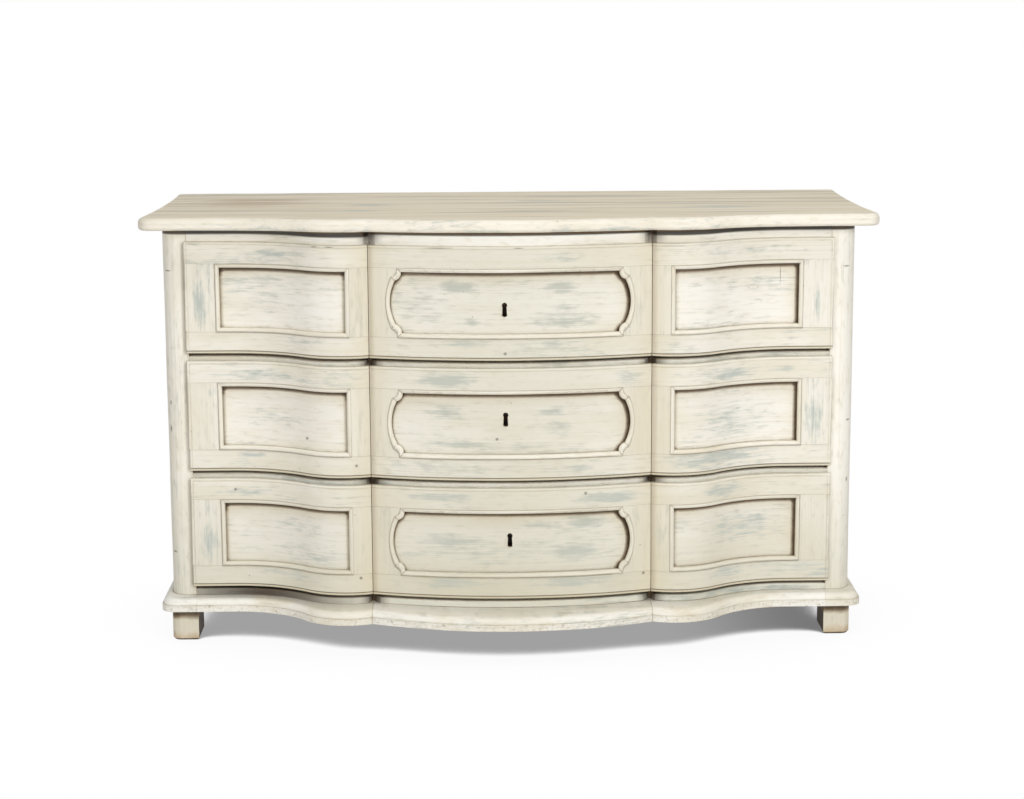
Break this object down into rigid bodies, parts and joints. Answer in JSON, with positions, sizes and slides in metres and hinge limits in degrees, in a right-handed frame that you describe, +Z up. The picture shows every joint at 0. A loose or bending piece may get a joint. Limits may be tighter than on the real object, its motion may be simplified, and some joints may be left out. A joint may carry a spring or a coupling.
{
  "type": "commode",
  "caption": "Low painted pine chest with stacked drawers, a crossbow front of bowed centre and humped wings, panelled drawer faces, a shaped top and block feet.",
  "frame": {"origin": "on the floor, in the middle of the plan of the whole chest", "axes": "+X to the right seen from the front, +Y to the back, +Z up; the drawers open towards -Y"},
  "size_m": [1.45, 0.6499, 0.86],
  "materials": {
    "cream_paint": "old matt cream paint, rubbed and stained",
    "bare_pine": "bare aged pine",
    "old_iron": "dull dark iron"
  },
  "bodies": {
    "carcass": {"top_front_board": "cream_paint", "top_rear_board": "cream_paint", "right_front_post": "cream_paint", "left_front_post": "cream_paint", "right_rear_post": "cream_paint", "left_rear_post": "cream_paint", "right_side_panel": "cream_paint", "left_side_panel": "cream_paint", "side_rails": "cream_paint", "top_rail": "cream_paint", "upper_rail": "cream_paint", "lower_rail": "cream_paint", "bottom_rail": "cream_paint", "base_centre": "cream_paint", "base_right_wing": "cream_paint", "base_left_wing": "cream_paint", "base_right_corner": "cream_paint", "base_left_corner": "cream_paint", "base_right_side": "cream_paint", "base_left_side": "cream_paint", "right_front_foot": "cream_paint", "left_front_foot": "cream_paint", "right_rear_foot": "cream_paint", "left_rear_foot": "cream_paint", "back_rails": "bare_pine", "back_boards": "bare_pine", "drawer_runners": "bare_pine", "drawer_guides": "bare_pine", "drawer_stops": "bare_pine", "drawer_kickers": "bare_pine", "bottom_board": "bare_pine", "glue_blocks": "bare_pine", "back_nails": "old_iron"},
    "drawer_top": {"top_drawer_front": "cream_paint", "top_drawer_frames": "cream_paint", "top_drawer_mouldings": "cream_paint", "top_drawer_right_side": "bare_pine", "top_drawer_left_side": "bare_pine", "top_drawer_back": "bare_pine", "top_drawer_bottom": "bare_pine", "top_drawer_lock": "old_iron"},
    "lock_bolt_top": {"top_drawer_bolt": "old_iron"},
    "drawer_middle": {"middle_drawer_front": "cream_paint", "middle_drawer_frames": "cream_paint", "middle_drawer_mouldings": "cream_paint", "middle_drawer_right_side": "bare_pine", "middle_drawer_left_side": "bare_pine", "middle_drawer_back": "bare_pine", "middle_drawer_bottom": "bare_pine", "middle_drawer_lock": "old_iron"},
    "lock_bolt_middle": {"middle_drawer_bolt": "old_iron"},
    "drawer_bottom": {"bottom_drawer_front": "cream_paint", "bottom_drawer_frames": "cream_paint", "bottom_drawer_mouldings": "cream_paint", "bottom_drawer_right_side": "bare_pine", "bottom_drawer_left_side": "bare_pine", "bottom_drawer_back": "bare_pine", "bottom_drawer_bottom": "bare_pine", "bottom_drawer_lock": "old_iron"},
    "lock_bolt_bottom": {"bottom_drawer_bolt": "old_iron"}
  },
  "joints": [
    {"name": "top_drawer_slide", "type": "slide", "parent": "carcass", "child": "drawer_top", "axis": [0, -1, 0], "range_m": [0, 0.24]},
    {"name": "top_drawer_bolt_throw", "type": "slide", "parent": "drawer_top", "child": "lock_bolt_top", "axis": [0, 0, 1], "range_m": [0, 0.008]},
    {"name": "middle_drawer_slide", "type": "slide", "parent": "carcass", "child": "drawer_middle", "axis": [0, -1, 0], "range_m": [0, 0.24]},
    {"name": "middle_drawer_bolt_throw", "type": "slide", "parent": "drawer_middle", "child": "lock_bolt_middle", "axis": [0, 0, 1], "range_m": [0, 0.008]},
    {"name": "bottom_drawer_slide", "type": "slide", "parent": "carcass", "child": "drawer_bottom", "axis": [0, -1, 0], "range_m": [0, 0.24]},
    {"name": "bottom_drawer_bolt_throw", "type": "slide", "parent": "drawer_bottom", "child": "lock_bolt_bottom", "axis": [0, 0, 1], "range_m": [0, 0.008]}
  ]
}
